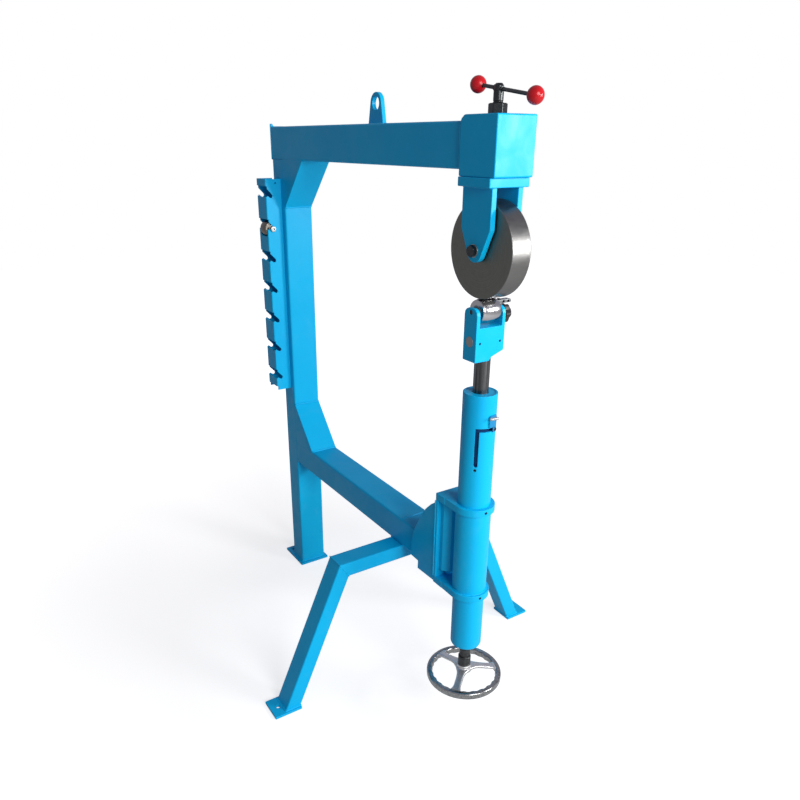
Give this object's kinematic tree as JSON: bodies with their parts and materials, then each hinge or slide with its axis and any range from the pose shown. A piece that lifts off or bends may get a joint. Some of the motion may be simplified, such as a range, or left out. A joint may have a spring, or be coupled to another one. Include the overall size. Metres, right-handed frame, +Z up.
{
  "type": "english wheel",
  "caption": "Floor standing english wheel: deep C frame of square tube, swivelling fork with upper wheel, screw-lifted anvil wheel on a ram and a rack for spare anvils.",
  "frame": {"origin": "on the floor, at the middle of the whole part's outline in plan", "axes": "+Z up; -Y towards the operator and the wheels; +Y towards the rear post; X along the wheel axles"},
  "size_m": [1.006, 1.26, 1.7303],
  "materials": {
    "blue_paint": "smooth azure powder coat",
    "bright_steel": "zinc plated or ground",
    "dark_steel": "black oxide",
    "wheel_steel": "turned flats, satin rim",
    "polished_steel": "polished working face",
    "ram_steel": "ground dark bar",
    "cast_aluminium": "polished casting",
    "bronze": "machined",
    "red_plastic": "glossy",
    "black_plastic": "fine matt"
  },
  "bodies": {
    "frame": {"rear_post": "blue_paint", "upper_arm": "blue_paint", "lower_arm": "blue_paint", "upper_gusset": "blue_paint", "lower_gusset": "blue_paint", "arm_end_cap": "blue_paint", "lifting_lug": "blue_paint", "rear_foot_plate": "blue_paint", "cross_beam": "blue_paint", "left_leg": "blue_paint", "right_leg": "blue_paint", "front_foot_plates": "blue_paint", "head_block": "blue_paint", "head_nut": "dark_steel", "back_plate": "blue_paint", "side_plates": "blue_paint", "saddle_block": "blue_paint", "upper_collar": "blue_paint", "lower_collar": "blue_paint", "clamp_sleeve": "blue_paint", "collar_set_screws": "dark_steel", "column_tube": "blue_paint", "top_guide_bush": "blue_paint", "support_ring": "bright_steel", "key_screw": "dark_steel", "bottom_plug": "bright_steel", "thrust_bearing": "bright_steel", "tool_rack": "blue_paint", "spare_anvil": "wheel_steel", "spare_axle": "bright_steel"},
    "fork": {"fork_plate": "blue_paint", "fork_ears": "blue_paint", "fork_spigot": "bright_steel", "spigot_ring": "bright_steel", "axle_bolt": "dark_steel", "axle_nut": "dark_steel", "axle_spacers": "bright_steel"},
    "upper_wheel": {"upper_wheel": "wheel_steel", "wheel_bearings": "bright_steel"},
    "clamp": {"clamp_screw": "dark_steel"},
    "tee_bar": {"tee_bar": "dark_steel", "ball_knobs": "red_plastic"},
    "ram": {"ram": "ram_steel", "lift_nut": "bronze", "yoke": "blue_paint", "yoke_cross_pin": "bright_steel", "yoke_screws": "dark_steel", "axle_keeper": "bright_steel", "anvil_spacers": "bright_steel", "anvil_axle": "dark_steel"},
    "anvil": {"anvil_wheel": "polished_steel", "anvil_bearings": "bright_steel"},
    "lock_knob": {"lock_knob": "black_plastic", "lock_screw": "bright_steel"},
    "hand_wheel": {"adjusting_screw": "dark_steel", "hand_wheel": "cast_aluminium", "hand_wheel_nut": "dark_steel"},
    "release_lever": {"release_sleeve": "dark_steel", "release_pin": "bright_steel", "release_lever": "blue_paint"}
  },
  "joints": [
    {"name": "fork_swivel", "type": "hinge", "parent": "frame", "child": "fork", "pos_m": [0, -0.49895, 1.54], "axis": [0, 0, 1], "range_deg": [-90, 90]},
    {"name": "upper_wheel_spin", "type": "hinge", "parent": "fork", "child": "upper_wheel", "pos_m": [0, -0.49895, 1.3705], "axis": [1, 0, 0], "continuous": true},
    {"name": "clamp_screw_turn", "type": "hinge", "parent": "frame", "child": "clamp", "pos_m": [0, -0.49895, 1.66], "axis": [0, 0, 1], "range_deg": [0, 180]},
    {"name": "tee_bar_slide", "type": "slide", "parent": "clamp", "child": "tee_bar", "axis": [0, -0.9877, -0.1564], "range_m": [-0.082, 0.038]},
    {"name": "hand_wheel_turn", "type": "hinge", "parent": "frame", "child": "hand_wheel", "pos_m": [0, -0.49895, 0.2], "axis": [0, 0, 1], "range_deg": [0, 4320]},
    {"name": "ram_lift", "type": "slide", "parent": "frame", "child": "ram", "axis": [0, 0, 1], "range_m": [-0.06, 0]},
    {"name": "anvil_spin", "type": "hinge", "parent": "ram", "child": "anvil", "pos_m": [0, -0.49895, 1.23], "axis": [1, 0, 0], "continuous": true},
    {"name": "lock_knob_turn", "type": "hinge", "parent": "ram", "child": "lock_knob", "pos_m": [0.058, -0.49895, 1.218], "axis": [1, 0, 0], "range_deg": [0, 360]},
    {"name": "release_lever_turn", "type": "hinge", "parent": "frame", "child": "release_lever", "pos_m": [0, -0.49895, 0.937], "axis": [0, 0, 1], "range_deg": [-62, 0]}
  ],
  "couplings": [
    {"joint": "ram_lift", "follows": "hand_wheel_turn", "m_per_rad": -0.00079577}
  ]
}
